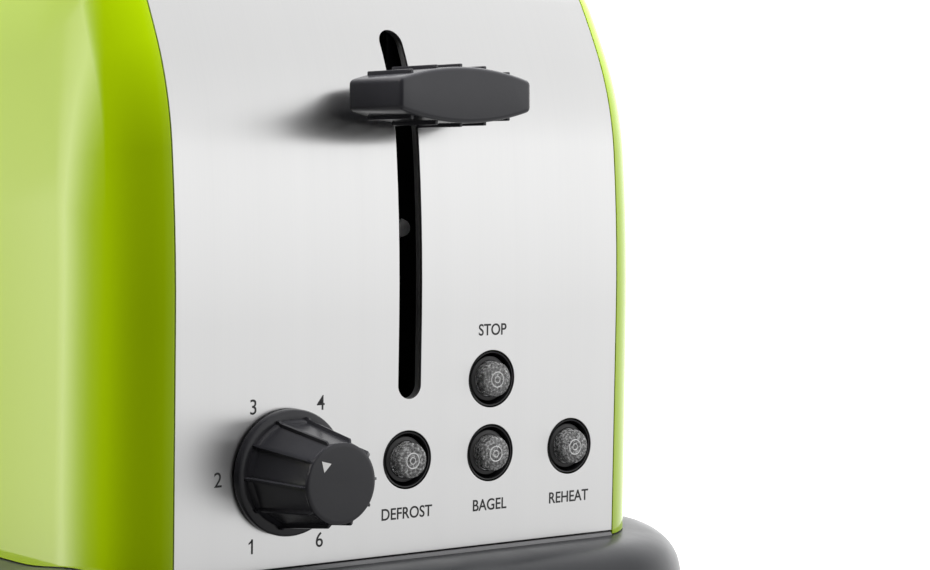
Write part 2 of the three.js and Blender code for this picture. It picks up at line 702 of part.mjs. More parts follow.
function addHousing() {
  place("plinth", plinth(), PLINTH_GREY);
  place("bottom_plate", bottomPlate(), ZINC);
  place("front_end_panel", frontPanel(), STEEL);
  place("rear_end_panel", rearPanel(), STEEL);
  place("top_plate", topPlate(), STEEL);
  place("cheek_left", cheek(-1), GREEN);
  place("cheek_right", cheek(1), GREEN);
  place("cord_gland", gland(), BLACK);
  for (const [endName, end] of [["front", -1], ["rear", 1]]) {
    for (const [sideName, side] of [["left", -1], ["right", 1]]) {
      place(`foot_${endName}_${sideName}`, foot(side, end), RUBBER);
    }
  }
}

function addChassis() {
  place("chassis_plate_front", chassisPlate(CHASSIS.front), ZINC);
  place("chassis_plate_rear", chassisPlate(CHASSIS.rear), ZINC);
  for (const [sideName, side] of [["left", -1], ["right", 1]]) {
    place(`heat_shield_${sideName}`, heatShield(side), ZINC);
    place(`slot_collar_${sideName}`, slotCollar(side), STEEL);
    for (const [row, distance, towards] of [["outer", HEATER.outer, -1], ["inner", HEATER.inner, 1]]) {
      const x = side * distance;
      place(`heater_board_${sideName}_${row}`, heaterBoard(x), MICA);
      place(`heater_ribbon_${sideName}_${row}`, heaterRibbon(x, side * towards), RIBBON);
      const guideX = side * (SLOT.x - towards * GUIDE.offset);
      place(`bread_guide_${sideName}_${row}`, breadGuide(guideX), ZINC);
    }
  }
}

function addCarriage() {
  place("carriage_slider", slider(), ZINC);
  place("bread_lifter_left", lifter(-1), ZINC);
  place("bread_lifter_right", lifter(1), ZINC);
  place("armature", armature(), ZINC);
  place("lever_arm", leverArm(), ZINC);
  place("lever_knob", leverKnob(), KNOB_GREY);
  place("return_spring", returnSpring(), ZINC);
  place("guide_rod", guideRod(), ZINC);
  place("rod_bracket_top", rodBracket(-18, ROD.top + GAP, ROD.top + 3.5), ZINC);
  place("rod_bracket_bottom", rodBracket(4, ROD.bottom - 3.5, ROD.bottom - GAP), ZINC);
  place("electromagnet", electromagnet(), COPPER);
}

function addControls() {
  place("lever_slot_guide", slotGuide(), BLACK);
  place("slot_guide_screw", guideScrew(), ZINC);
  place("control_board", controlBoard(), BOARD_GREEN, panelFrame);
  place("potentiometer", potentiometer(), ZINC, panelFrame, DIAL.x, DIAL.up);
  place("dial_shaft", dialShaft(), ZINC, panelFrame, DIAL.x, DIAL.up);
  place("dial_knob", dialKnob(), KNOB_GREY, panelFrame, DIAL.x, DIAL.up);
  for (const { name, x, up } of BUTTONS) {
    place(`bezel_${name}`, buttonBezel(), BLACK, panelFrame, x, up);
    place(`button_${name}`, buttonCap(), CLEAR, panelFrame, x, up);
  }
}

function addCrumbTray() {
  place("crumb_tray", crumbPan(), ZINC);
  place("crumb_tray_pull", crumbPull(), PLINTH_GREY);
}

addHousing();
addChassis();
addCarriage();
addControls();
addCrumbTray();

export default toaster;
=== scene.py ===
# The toaster's looks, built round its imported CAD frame. Shapes are worked out in millimetres in the
# row frame and become metres when a piece is made.
import json
import math

import bmesh
import bpy
from mathutils import Matrix, Vector


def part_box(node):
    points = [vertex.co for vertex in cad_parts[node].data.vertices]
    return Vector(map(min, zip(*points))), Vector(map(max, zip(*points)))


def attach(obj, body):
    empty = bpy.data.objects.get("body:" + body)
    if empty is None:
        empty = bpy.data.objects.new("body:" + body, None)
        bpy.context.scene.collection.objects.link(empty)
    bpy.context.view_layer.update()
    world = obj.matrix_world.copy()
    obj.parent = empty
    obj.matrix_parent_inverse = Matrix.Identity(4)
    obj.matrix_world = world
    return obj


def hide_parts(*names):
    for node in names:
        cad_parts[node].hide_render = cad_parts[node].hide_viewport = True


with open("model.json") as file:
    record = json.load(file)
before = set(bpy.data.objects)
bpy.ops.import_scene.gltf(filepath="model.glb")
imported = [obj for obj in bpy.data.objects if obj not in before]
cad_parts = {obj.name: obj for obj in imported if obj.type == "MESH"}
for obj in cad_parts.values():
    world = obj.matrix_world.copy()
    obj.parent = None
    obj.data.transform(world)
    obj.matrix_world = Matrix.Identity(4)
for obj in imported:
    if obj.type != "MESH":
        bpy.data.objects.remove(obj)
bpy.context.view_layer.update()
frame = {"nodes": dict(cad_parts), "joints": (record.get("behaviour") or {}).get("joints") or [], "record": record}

MM = 0.001


def box(node):
    """Lowest and highest corner of a CAD node, in millimetres."""
    low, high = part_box(node)
    return low / MM, high / MM


def middle(node):
    low, high = box(node)
    return (low + high) / 2


# ---- driving dimensions, from the frame ----

PLINTH_LOW, PLINTH_HIGH = box("plinth")
PANEL_LOW, PANEL_HIGH = box("front_end_panel")
CHEEK_LOW, CHEEK_HIGH = box("cheek_right")

SIDE = CHEEK_HIGH.x
RIM = CHEEK_LOW.x
PANEL_EDGE = PANEL_HIGH.x
PANEL_FOOT = PANEL_LOW.z
ROOF = box("top_plate")[1].z
FLARE = PLINTH_HIGH.x - SIDE
FRONT = PLINTH_LOW.y + FLARE
REAR = PLINTH_HIGH.y - FLARE
CENTRE_Y = (FRONT + REAR) / 2
SHEET = 0.8
SEAM = 0.3

# The control end's outline: it leans out, then bends back in arcs of (radius, heading after it).
LEAN = math.radians(-1.5)
STRAIGHT = 62
BENDS = ((410, 4.5), (80, 24.5), (200, 29))
FACET = math.radians(1.2)

# The steel ends' own frame: X to the right, Y up the panel, Z out of it.
UP = Vector((0, math.sin(LEAN), math.cos(LEAN)))
OUT = Vector((1, 0, 0)).cross(UP)
PANEL_TURN = Matrix(((1, 0, 0), UP, OUT)).transposed().to_4x4()
PANEL = Matrix.Translation((0, FRONT, PANEL_FOOT)) @ PANEL_TURN

DIAL_TURN = next(joint for joint in frame["joints"] if joint["name"] == "dial_turn")
DIAL = PANEL.inverted() @ (Vector(DIAL_TURN["pos_m"]) / MM)
BUTTONS = ("stop", "defrost", "bagel", "reheat")
BUTTON_HOLE_RADIUS = 7.65
DIAL_HOLE_RADIUS = 4.8
SLOT_HALF_WIDTH = 3.6
SLOT_BOTTOM = PANEL_FOOT + 40.5
SLOT_TOP = PANEL_FOOT + 136.3
SLOT_RETURN = {"inner": 0.02, "outer": 0.5, "depth": 1.9, "step": 4.0}
# Keeps apart the two points where a round end's corners meet.
CORNER_GAP = 0.01

# How far cutting tools reach past what they cut.
SHORT_REACH = 5
TOOL_REACH = 20
LONG_REACH = 30


def on_panel(point):
    """A row-frame point in the panel's own frame."""
    return PANEL.inverted() @ point


# ---- materials ----


def new_material(name, roughness, metallic=0.0, **sockets):
    """A material, its shader node and its node tree. Even values sit on the shader's sockets."""
    material = bpy.data.materials.new(name)
    material.use_nodes = True
    tree = material.node_tree
    shader = tree.nodes["Principled BSDF"]
    shader.inputs["Roughness"].default_value = roughness
    shader.inputs["Metallic"].default_value = metallic
    for socket, value in sockets.items():
        shader.inputs[socket.replace("_", " ")].default_value = value
    return material, shader, tree


def noise(tree, coordinate, scale, detail=4.0, roughness=0.55, stretch=(1, 1, 1)):
    mapping = tree.nodes.new("ShaderNodeMapping")
    mapping.inputs["Scale"].default_value = stretch
    tree.links.new(coordinate, mapping.inputs["Vector"])
    texture = tree.nodes.new("ShaderNodeTexNoise")
    texture.inputs["Scale"].default_value = scale
    texture.inputs["Detail"].default_value = detail
    texture.inputs["Roughness"].default_value = roughness
    tree.links.new(mapping.outputs["Vector"], texture.inputs["Vector"])
    return texture.outputs["Fac"]


def spread(tree, value, low, high, start=0.3, end=0.7):
    """A number between low and high that follows a texture's value."""
    ranged = tree.nodes.new("ShaderNodeMapRange")
    ranged.inputs["From Min"].default_value = start
    ranged.inputs["From Max"].default_value = end
    ranged.inputs["To Min"].default_value = low
    ranged.inputs["To Max"].default_value = high
    tree.links.new(value, ranged.inputs["Value"])
    return ranged.outputs["Result"]


def colours(tree, value, dark, light, start=0.3, end=0.7):
    ramp = tree.nodes.new("ShaderNodeValToRGB")
    ramp.color_ramp.elements[0].position = start
    ramp.color_ramp.elements[0].color = (*dark, 1)
    ramp.color_ramp.elements[1].position = end
    ramp.color_ramp.elements[1].color = (*light, 1)
    tree.links.new(value, ramp.inputs["Fac"])
    return ramp.outputs["Color"]


def bump(tree, shader, value, distance, strength=1.0):
    node = tree.nodes.new("ShaderNodeBump")
    node.inputs["Distance"].default_value = distance
    node.inputs["Strength"].default_value = strength
    tree.links.new(value, node.inputs["Height"])
    tree.links.new(node.outputs["Normal"], shader.inputs["Normal"])


def object_coordinate(tree):
    return tree.nodes.new("ShaderNodeTexCoord").outputs["Object"]


def moulded(name, dark, light, roughness, grain=900.0, depth=0.00002, **sockets):
    """Moulded plastic: faint patches of colour and gloss over a fine spark-eroded grain."""
    material, shader, tree = new_material(name, sum(roughness) / 2, **sockets)
    place = object_coordinate(tree)
    patches = noise(tree, place, 35.0)
    tree.links.new(colours(tree, patches, dark, light), shader.inputs["Base Color"])
    tree.links.new(spread(tree, noise(tree, place, 120.0), *roughness), shader.inputs["Roughness"])
    bump(tree, shader, noise(tree, place, grain, detail=2.0), depth)
    return material


def brushed(name, dark, light, roughness, anisotropic=0.75):
    """Brushed sheet: streaks that run along the brush map's second axis."""
    material, shader, tree = new_material(name, sum(roughness) / 2, 1.0, Anisotropic=anisotropic)
    brush_map = tree.nodes.new("ShaderNodeUVMap")
    brush_map.uv_map = "brush"
    place = brush_map.outputs["UV"]
    streaks = noise(tree, place, 1.0, detail=5.0, roughness=0.7, stretch=(4200, 3, 1))
    bands = noise(tree, place, 1.0, detail=3.0, stretch=(160, 0.5, 1))
    tree.links.new(colours(tree, streaks, dark, light), shader.inputs["Base Color"])
    tree.links.new(spread(tree, bands, *roughness, 0.1, 0.9), shader.inputs["Roughness"])
    bump(tree, shader, streaks, 0.000003, 0.12)
    tangent = tree.nodes.new("ShaderNodeTangent")
    tangent.direction_type = "UV_MAP"
    tangent.uv_map = "brush"
    tree.links.new(tangent.outputs["Tangent"], shader.inputs["Tangent"])
    return material


def plated(name, dark, light, roughness, grain=300.0, depth=0.00003):
    """Zinc-plated sheet and wire: a faint spangle with duller patches."""
    material, shader, tree = new_material(name, sum(roughness) / 2, 1.0)
    place = object_coordinate(tree)
    spangle = noise(tree, place, 60.0)
    tree.links.new(colours(tree, spangle, dark, light), shader.inputs["Base Color"])
    tree.links.new(spread(tree, noise(tree, place, 25.0), *roughness), shader.inputs["Roughness"])
    bump(tree, shader, noise(tree, place, grain), depth, 0.5)
    return material


def lacquered(name, dark, light):
    """Glossy paint under lacquer, with a trace of orange peel."""
    material, shader, tree = new_material(
        name, 0.35, Coat_Weight=1.0, Coat_Roughness=0.03, Coat_IOR=1.5, Specular_IOR_Level=0.0
    )
    place = object_coordinate(tree)
    patches = noise(tree, place, 9.0, detail=2.0)
    tree.links.new(colours(tree, patches, dark, light), shader.inputs["Base Color"])
    tree.links.new(spread(tree, noise(tree, place, 60.0), 0.32, 0.42), shader.inputs["Roughness"])
    bump(tree, shader, noise(tree, place, 220.0, detail=1.0), 0.000004, 0.5)
    return material


def clear_plastic():
    """A smoky lens with a granular face, its light speckles painted glints off the grain."""
    material, shader, tree = new_material("clear_plastic", 0.15, Transmission_Weight=0.45, IOR=1.46)
    place = object_coordinate(tree)
    grain = noise(tree, place, 1500.0, detail=3.0, roughness=0.7)
    # The light speckles in the colour paint in glints off the prismatic grain; the grain's bump and roughness are
    # real.
    glint_speckle = colours(tree, grain, (0.05, 0.05, 0.05), (0.80, 0.80, 0.80), 0.40, 0.68)
    tree.links.new(glint_speckle, shader.inputs["Base Color"])
    tree.links.new(spread(tree, grain, 0.10, 0.35), shader.inputs["Roughness"])
    bump(tree, shader, grain, 0.00005, 0.7)
    return material


STEEL = brushed("brushed_steel", (0.676, 0.676, 0.676), (0.694, 0.694, 0.690), (0.26, 0.31))
GREEN = lacquered("lime_lacquer", (0.396, 0.585, 0.001), (0.411, 0.605, 0.002))
PLINTH_GREY = moulded("plinth_plastic", (0.026, 0.027, 0.030), (0.034, 0.035, 0.038), (0.30, 0.36),
                      Specular_IOR_Level=0.3)
# The lip is the plinth's own plastic, made a lighter grey to paint in the highlight along its sloped edge.
LIP_PAINTED_HIGHLIGHT = moulded("plinth_lip_painted_highlight", (0.14, 0.14, 0.145), (0.18, 0.18, 0.185), (0.30, 0.38))
KNOB_GREY = moulded("knob_plastic", (0.032, 0.032, 0.037), (0.041, 0.041, 0.047), (0.20, 0.26),
                    Specular_IOR_Level=0.42)
DIAL_GREY = moulded("dial_plastic", (0.023, 0.023, 0.027), (0.030, 0.030, 0.034), (0.18, 0.24),
                    Specular_IOR_Level=0.34)
BLACK = moulded("black_plastic", (0.006, 0.006, 0.007), (0.012, 0.012, 0.013), (0.18, 0.28))
# The slot's turned-in edge is steel; this flat grey paints in the shade on it instead of brushed steel.
RETURN = moulded("slot_return_painted_shade", (0.16, 0.16, 0.16), (0.22, 0.22, 0.22), (0.35, 0.45))
RUBBER = moulded("foot_rubber", (0.010, 0.010, 0.010), (0.020, 0.020, 0.020), (0.75, 0.90),
                 depth=0.00005)
# Near-white plastic that paints in the reflections of a lens's inner rings.
RING = moulded("lens_ring_painted_reflection", (0.76, 0.76, 0.76), (0.90, 0.90, 0.90), (0.25, 0.40))
SLEEVE = moulded("button_sleeve", (0.022, 0.022, 0.023), (0.040, 0.040, 0.041), (0.30, 0.42))
PRINT = moulded("label_ink", (0.012, 0.012, 0.013), (0.022, 0.022, 0.023), (0.45, 0.60))
WHITE_INK = moulded("pointer_ink", (0.80, 0.80, 0.79), (0.90, 0.90, 0.89), (0.45, 0.60))
SCREW = moulded("screw_head", (0.74, 0.74, 0.74), (0.84, 0.84, 0.84), (0.35, 0.50))
ZINC = plated("zinc_plated", (0.42, 0.43, 0.44), (0.56, 0.57, 0.58), (0.28, 0.42))
REFLECTOR = plated("led_reflector", (0.30, 0.30, 0.31), (0.55, 0.55, 0.56), (0.15, 0.3),
                   grain=1500.0, depth=0.00006)
RIBBON = plated("heater_ribbon", (0.20, 0.16, 0.13), (0.34, 0.28, 0.24), (0.40, 0.55))
COPPER = plated("copper_winding", (0.50, 0.20, 0.08), (0.66, 0.30, 0.14), (0.30, 0.42))
MICA = moulded("mica_sheet", (0.46, 0.38, 0.27), (0.62, 0.53, 0.40), (0.40, 0.60), grain=250.0,
               depth=0.00006)
BOARD = moulded("circuit_board", (0.015, 0.10, 0.04), (0.03, 0.15, 0.07), (0.30, 0.45))
CLEAR = clear_plastic()


# ---- making pieces ----


def make(name, mesh_code, material, body, replaces=(), sharp=32, matrix=Matrix.Identity(4)):
    """Turns a bmesh in millimetres into a smooth-shaded piece that rides on a body."""
    mesh = bpy.data.meshes.new(name)
    bmesh.ops.recalc_face_normals(mesh_code, faces=mesh_code.faces)
    mesh_code.to_mesh(mesh)
    mesh_code.free()
    mesh.transform(Matrix.Scale(MM, 4) @ matrix)
    mesh.materials.append(material)
    piece = bpy.data.objects.new(name, mesh)
    bpy.context.scene.collection.objects.link(piece)
    smooth(piece, sharp)
    if body:
        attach(piece, body)
        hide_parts(*replaces)
    return piece


def smooth(piece, sharp):
    piece.data.shade_smooth()
    piece.data.set_sharp_from_angle(angle=math.radians(sharp))


def bake(piece, sharp=32):
    """Applies the piece's modifiers to its mesh."""
    evaluated = piece.evaluated_get(bpy.context.evaluated_depsgraph_get())
    mesh = bpy.data.meshes.new_from_object(evaluated)
    mesh.name = piece.name
    piece.modifiers.clear()
    piece.data = mesh
    if sharp is not None:
        smooth(piece, sharp)


def carve(piece, *tools):
    for tool in tools:
        modifier = piece.modifiers.new("carve", "BOOLEAN")
        modifier.object = tool
        modifier.operation = "DIFFERENCE"
        modifier.solver = "EXACT"
    bake(piece)
    for tool in tools:
        bpy.data.objects.remove(tool)


def soften(piece, width, segments=2, angle=40):
    """Rounds the piece's hard edges."""
    modifier = piece.modifiers.new("soften", "BEVEL")
    modifier.width = width * MM
    modifier.segments = segments
    modifier.limit_method = "ANGLE"
    modifier.angle_limit = math.radians(angle)
    modifier.harden_normals = False
    bake(piece)


def settle(piece):
    """Keeps broad flat faces flat in shading beside their rounded edges."""
    modifier = piece.modifiers.new("settle", "WEIGHTED_NORMAL")
    modifier.keep_sharp = True
    modifier.weight = 100
    bake(piece, None)


def tool(mesh_code, matrix=Matrix.Identity(4)):
    return make("tool", mesh_code, BLACK, None, matrix=matrix)


def skin(loops, closed=True, caps=True, ring=False):
    """A surface over loops of points.

    closed joins each loop's ends, and ring joins the last loop to the first.
    """
    code = bmesh.new()
    rows = [[code.verts.new(point) for point in loop] for loop in loops]
    pairs = list(zip(rows, rows[1:]))
    if ring:
        pairs.append((rows[-1], rows[0]))
    count = len(rows[0])
    for lower, upper in pairs:
        for i in range(count if closed else count - 1):
            j = (i + 1) % count
            code.faces.new((lower[i], lower[j], upper[j], upper[i]))
    if caps:
        code.faces.new(rows[0])
        code.faces.new(rows[-1])
    return code


def block(low, high):
    code = bmesh.new()
    bmesh.ops.create_cube(code, size=1)
    size = Vector(high) - Vector(low)
    centre = (Vector(high) + Vector(low)) / 2
    place = Matrix.Translation(centre) @ Matrix.Diagonal((*size, 1))
    bmesh.ops.transform(code, verts=code.verts, matrix=place)
    return code


def merge(*codes):
    """One bmesh with the shapes of several."""
    whole = codes[0]
    for code in codes[1:]:
        spare = bpy.data.meshes.new("spare")
        code.to_mesh(spare)
        code.free()
        whole.from_mesh(spare)
        bpy.data.meshes.remove(spare)
    return whole


def turned(profile, segments=64):
    """A profile of (radius, height) turned about Z. A radius of 0 closes the end."""
    loops = [
        [
            Vector((radius * math.cos(a), radius * math.sin(a), height))
            for a in (2 * math.pi * i / segments for i in range(segments))
        ]
        for radius, height in profile
    ]
    code = skin(loops, caps=False)
    bmesh.ops.remove_doubles(code, verts=code.verts, dist=1e-4)
    return code


def rounded_rectangle(x0, x1, y0, y1, radius, steps=8):
    corners = ((x1 - radius, y0 + radius, -90), (x1 - radius, y1 - radius, 0),
               (x0 + radius, y1 - radius, 90), (x0 + radius, y0 + radius, 180))
    return [
        Vector((x + radius * math.cos(a), y + radius * math.sin(a)))
        for x, y, start in corners
        for a in (math.radians(start + 90 * i / steps) for i in range(steps + 1))
    ]


def drawn_up(outline, z0, z1):
    return skin([[Vector((p.x, p.y, z)) for p in outline] for z in (z0, z1)])


# ---- the body's outline, from the side ----


def end_outline(foot=PANEL_FOOT):
    """(point, outward) pairs in Y and Z, from the control end's foot to the roof's front edge."""
    heading = LEAN
    start_y = FRONT + math.tan(LEAN) * (foot - PANEL_FOOT)
    points = [(start_y, foot, heading)]
    y = FRONT + math.tan(LEAN) * STRAIGHT
    z = PANEL_FOOT + STRAIGHT
    points.append((y, z, heading))
    tight = (ROOF - z - rise_of_bends()) / (1 - math.sin(math.radians(BENDS[-1][1])))
    for radius, after in (*BENDS, (tight, 90)):
        after = math.radians(after)
        facets = max(2, round((after - heading) / FACET))
        for i in range(1, facets + 1):
            h = heading + (after - heading) * i / facets
            points.append((
                y + radius * (math.cos(heading) - math.cos(h)),
                z + radius * (math.sin(h) - math.sin(heading)),
                h,
            ))
        y, z, heading = points[-1]
    return [(Vector((y, z)), Vector((-math.cos(h), math.sin(h)))) for y, z, h in points]


def rise_of_bends():
    rise, heading = 0, LEAN
    for radius, after in BENDS:
        after = math.radians(after)
        rise += radius * (math.sin(after) - math.sin(heading))
        heading = after
    return rise


def mirrored(outline):
    """The same outline at the rear, from the roof's rear edge down to the foot."""
    return [
        (Vector((2 * CENTRE_Y - point.x, point.y)), Vector((-out.x, out.y)))
        for point, out in reversed(outline)
    ]


def inward(pair, depth):
    return pair[0] - pair[1] * depth


# ---- steel ----


def band(outline, x0, x1):
    """Sheet of one thickness along an outline, with a brush map: across it, then along it."""
    outer = [inward(pair, 0) for pair in outline]
    inner = [inward(pair, SHEET) for pair in outline]
    along = [0.0]
    for a, b in zip(outer, outer[1:]):
        along.append(along[-1] + (b - a).length)
    section = outer + inner[::-1]
    code = skin([[Vector((x, p.x, p.y)) for p in section] for x in (x0, x1)])
    lengths = along + along[::-1]
    map_brush(code, {round(p.x, 3) * 1000 + round(p.y, 3): s for p, s in zip(section, lengths)})
    return code


def map_brush(code, lengths):
    layer = code.loops.layers.uv.new("brush")
    for face in code.faces:
        for loop in face.loops:
            key = round(loop.vert.co.y, 3) * 1000 + round(loop.vert.co.z, 3)
            loop[layer].uv = (loop.vert.co.x * MM, lengths[key] * MM)


def lever_slot_outline(wall=0):
    """The lever slot's outline in X and Z, moved outwards by a wall."""
    radius = SLOT_HALF_WIDTH + wall
    bottom, top = SLOT_BOTTOM - wall, SLOT_TOP + wall
    return rounded_rectangle(-radius, radius, bottom, top, radius - CORNER_GAP, 12)


def lever_slot_tool():
    ends = (FRONT - TOOL_REACH, FRONT + LONG_REACH)
    return tool(skin([[Vector((p.x, y, p.y)) for p in lever_slot_outline()] for y in ends]))


def panel_hole_tool(x, up, radius):
    reach = SHORT_REACH
    rod = turned([(0, -reach), (radius, -reach), (radius, reach), (0, reach)])
    return tool(rod, PANEL @ Matrix.Translation((x, up, 0)))


def front_panel():
    outline = end_outline()[:-1]
    sheet = band(outline, -PANEL_EDGE, PANEL_EDGE)
    panel = make("steel_front", sheet, STEEL, "housing", ["front_end_panel"])
    holes = [on_panel(middle(f"bezel_{name}")) for name in BUTTONS]
    carve(panel, lever_slot_tool(), panel_hole_tool(DIAL.x, DIAL.y, DIAL_HOLE_RADIUS),
          *[panel_hole_tool(hole.x, hole.y, BUTTON_HOLE_RADIUS) for hole in holes])
    soften(panel, 0.22)
    settle(panel)
    slot_return()


def slot_return():
    """The panel's edge turned in round the lever slot, in a flat grey that paints in the shade on its steel."""
    outline = end_outline()
    inner, outer = SLOT_RETURN["inner"], SLOT_RETURN["outer"]
    near, far = SHEET, SHEET + SLOT_RETURN["depth"]
    loops = []
    for wall, depth in ((inner, near), (inner, far), (outer, far), (outer, near)):
        corners = lever_slot_outline(wall)
        edges = zip(corners, corners[1:] + corners[:1])
        ring = [point for a, b in edges for point in subdivided(a, b, SLOT_RETURN["step"])]
        loops.append([Vector((p.x, outline_y(outline, p.y) + depth, p.y)) for p in ring])
    code = skin(loops, caps=False, ring=True)
    make("slot_return", code, RETURN, "housing", sharp=40)


def subdivided(a, b, step):
    """Points from a towards b, no further apart than a step, without b."""
    count = max(1, math.ceil((b - a).length / step))
    return [a.lerp(b, i / count) for i in range(count)]


def outline_y(outline, height):
    """Where the control end's surface is at a height."""
    points = [point for point, _ in outline]
    for a, b in zip(points, points[1:]):
        if a.y <= height <= b.y:
            return a.x + (b.x - a.x) * (height - a.y) / (b.y - a.y)
    return points[0].x


def rear_panel():
    outline = mirrored(end_outline()[:-1])
    sheet = band(outline, -PANEL_EDGE, PANEL_EDGE)
    panel = make("steel_rear", sheet, STEEL, "housing", ["rear_end_panel"])
    soften(panel, 0.22)
    settle(panel)


BREAD_SLOT = {"x": 27.0, "half_width": 17.0, "front": 54.0, "rear": 196.0, "corner": 4.0,
              "depth": 10.0, "cut": 1.6}
# The collar's section as (distance inside the slot's outline, height over the roof) pairs.
COLLAR = (
    (1.3, -0.1), (1.5, 0), (1.9, -0.05), (2.1, -0.4), (2.1, -BREAD_SLOT["depth"]),
    (1.7, -BREAD_SLOT["depth"]), (BREAD_SLOT["cut"], -0.9), (1.3, -0.7),
)


def slot_outline(side, shrink):
    x = side * BREAD_SLOT["x"]
    half = BREAD_SLOT["half_width"] - shrink
    return rounded_rectangle(x - half, x + half, FRONT + BREAD_SLOT["front"] + shrink,
                             FRONT + BREAD_SLOT["rear"] - shrink, BREAD_SLOT["corner"] - shrink / 2)


def roof():
    """The top plate, with a turned-down collar round each bread slot."""
    front = end_outline()[-2:]
    edge = (front[0][0] + Vector((SEAM, 0)), front[0][1])
    outline = [edge, front[1]]
    sheet = band(outline + mirrored(outline), -PANEL_EDGE, PANEL_EDGE)
    plate = make("steel_roof", sheet, STEEL, "housing", ["top_plate"])
    cuts = [slot_outline(side, BREAD_SLOT["cut"]) for side in (-1, 1)]
    carve(plate, *[tool(drawn_up(cut, ROOF - TOOL_REACH, ROOF + SHORT_REACH)) for cut in cuts])
    soften(plate, 0.25)
    settle(plate)
    for side, side_name in ((-1, "left"), (1, "right")):
        collar(side, side_name)


def collar(side, side_name):
    """The rolled rim and turned-down wall of one bread slot."""
    loops = [
        [Vector((p.x, p.y, ROOF + height)) for p in slot_outline(side, shrink)]
        for shrink, height in COLLAR
    ]
    code = skin(loops, caps=False, ring=True)
    layer = code.loops.layers.uv.new("brush")
    for face in code.faces:
        for loop in face.loops:
            loop[layer].uv = ((loop.vert.co.x + loop.vert.co.y) * MM, loop.vert.co.z * MM)
    make(f"rolled_collar_{side_name}", code, STEEL, "housing",
         [f"slot_collar_{side_name}"], sharp=50)


# ---- painted cheeks ----

# The rim's section: one arc from the steel's edge, then a blend of this depth into the flat side.
RIM_START = math.radians(14)
RIM_TURN = math.radians(82)
RIM_BLEND = 22.5
RIM_STEPS = 22
BLEND_STEPS = 10
# The flat sides lean in by this much for each millimetre above a height.
DRAFT = 0.0115
DRAFT_FROM = 45.0
CHEEK_LAP = 1.5


def rim_profile():
    """(inset from the flat side, depth behind the steel) pairs, from the steel to the flat side."""
    blend_radius = RIM_BLEND / math.cos(RIM_TURN)
    blend_inset = blend_radius * (1 - math.sin(RIM_TURN))
    radius = (SIDE - RIM - blend_inset) / (math.sin(RIM_TURN) - math.sin(RIM_START))
    points = []
    for i in range(RIM_STEPS + 1):
        a = RIM_START + (RIM_TURN - RIM_START) * i / RIM_STEPS
        inset = blend_inset + radius * (math.sin(RIM_TURN) - math.sin(a))
        points.append((inset, radius * (math.cos(RIM_START) - math.cos(a))))
    depth = points[-1][1]
    for i in range(1, BLEND_STEPS + 1):
        a = RIM_TURN + (math.pi / 2 - RIM_TURN) * i / BLEND_STEPS
        inset = blend_radius * (1 - math.sin(a))
        points.append((inset, depth + blend_radius * (math.cos(RIM_TURN) - math.cos(a))))
    return points


def cheek_row(x, depth):
    """The whole side outline moved inwards, at one X, with both feet below the plinth's crest."""
    foot = PLINTH["crest"] - CHEEK_LAP
    front = end_outline(foot)
    row = [inward(pair, depth) for pair in front + mirrored(front)]
    row[0].y = row[-1].y = foot
    return [Vector((x, p.x, p.y)) for p in row]


def cheek(side):
    rows = [cheek_row(side * (SIDE - inset), depth) for inset, depth in rim_profile()]
    code = skin(rows, closed=False, caps=False)
    code.verts.ensure_lookup_table()
    count = len(rows[0])
    code.faces.new(code.verts[-count:])
    everything = [*code.verts, *code.edges, *code.faces]
    bmesh.ops.bisect_plane(code, geom=everything, plane_co=(0, 0, DRAFT_FROM), plane_no=(0, 0, 1))
    for vertex in code.verts:
        share = (abs(vertex.co.x) - RIM) / (SIDE - RIM)
        vertex.co.x -= side * share * DRAFT * max(vertex.co.z - DRAFT_FROM, 0)
    side_name = "left" if side < 0 else "right"
    piece = make(f"painted_cheek_{side_name}", code, GREEN, "housing",
                 [f"cheek_{side_name}"])
    shell = piece.modifiers.new("shell", "SOLIDIFY")
    shell.thickness = SHEET * MM
    shell.offset = -1
    shell.use_even_offset = True
    bake(piece)
    carve(piece, tool(skin(plinth_rows(0)), Matrix.Translation((0, 0, SEAM))))
    soften(piece, 0.3, angle=60)
    settle(piece)


# ---- plinth ----

# The section is a squared quarter ellipse, then a shelf that runs in under the body.
PLINTH = {"corner": 21.4, "waist": 8.0, "crest": 24.6, "lift": 2.2, "tuck": 1.8, "wall": 2.5,
          "square": 0.66, "shelf_start": 1.5, "shelf_end": 7}
CREST_RUN = 32.0
CREST_SHARPNESS = 2.9
FLARE_EASE = 1.4
LIFT_EASE = 4
LIP = {"proud": 0.5, "depth": 3.2, "groove": 0.5, "groove_foot": 23.6, "panel_gap": 0.35,
       "slope": 0.75, "rise": 1.15}
GLAND = {"bore": 4.7, "flange": 6.8, "step": -1, "flange_depth": 1.3}
TRAY_GAP = 1
CORNER_STEPS = 14
CREST_STEPS = 8
FLARE_STEPS = 26


def foot_quarter(out, z, lift):
    """The front right quarter of a loop round the body's foot: the corner, then along the side."""
    radius = PLINTH["corner"] + out
    cx, cy = SIDE - PLINTH["corner"], FRONT + PLINTH["corner"]
    points = []
    for i in range(CORNER_STEPS + 1):
        a = math.pi / 2 * (i / CORNER_STEPS - 1)
        rise = lift * max(math.cos(a), 0) ** CREST_SHARPNESS
        points.append(Vector((cx + radius * math.cos(a), cy + radius * math.sin(a), z + rise)))
    for i in range(1, CREST_STEPS + 1):
        share = i / CREST_STEPS
        rise = lift * math.cos(math.pi / 2 * share) ** 2
        points.append(Vector((cx + radius, cy + share * CREST_RUN, z + rise)))
    return points


def foot_loop(out, z, lift=0.0):
    """The whole loop, spread outwards, with its crest lifted beside the corners."""
    quarter = foot_quarter(out, z, lift)
    back = quarter[::-1]
    far = 2 * CENTRE_Y
    return (
        quarter
        + [Vector((p.x, far - p.y, p.z)) for p in back]
        + [Vector((-p.x, far - p.y, p.z)) for p in quarter]
        + [Vector((-p.x, p.y, p.z)) for p in back]
    )


